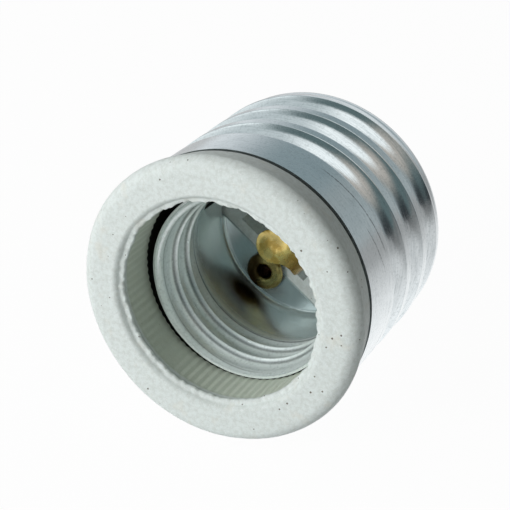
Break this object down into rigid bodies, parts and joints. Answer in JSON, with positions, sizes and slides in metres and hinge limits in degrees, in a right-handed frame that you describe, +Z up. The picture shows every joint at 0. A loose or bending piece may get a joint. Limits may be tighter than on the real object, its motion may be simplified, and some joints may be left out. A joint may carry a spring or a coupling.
{
  "type": "lamp socket adapter",
  "caption": "Porcelain lamp socket adapter: a large rolled male screw shell behind a thick round collar, whose mouth holds a smaller threaded lamp socket with a sprung brass contact.",
  "frame": {"origin": "centre of the mouth, in the collar's flat front face", "axes": "+Y along the screw axis from the mouth to the rear contact, +Z up as the adapter lies on its side"},
  "size_m": [0.041, 0.0448, 0.041],
  "materials": {
    "porcelain": "unglazed, fine grained",
    "outer_aluminium": "bright rolled sheet",
    "inner_aluminium": "bright rolled sheet",
    "contact_brass": "pressed, slightly tarnished",
    "eyelet_brass": "tarnished"
  },
  "bodies": {
    "adapter": {"porcelain_body": "porcelain", "outer_screw_shell": "outer_aluminium", "inner_screw_shell": "inner_aluminium", "shell_eyelet_near": "eyelet_brass", "shell_eyelet_far": "eyelet_brass", "contact_foot": "contact_brass", "centre_rivet": "contact_brass", "rear_contact": "contact_brass"},
    "leaf": {"contact_leaf": "contact_brass"}
  },
  "joints": [
    {"name": "contact_press", "type": "hinge", "parent": "adapter", "child": "leaf", "pos_m": [0.00272, 0.02945, -0.00218], "axis": [-0.6252, 0, -0.7804], "range_deg": [0, 12], "stiffness_Nm_per_rad": 0.9}
  ]
}
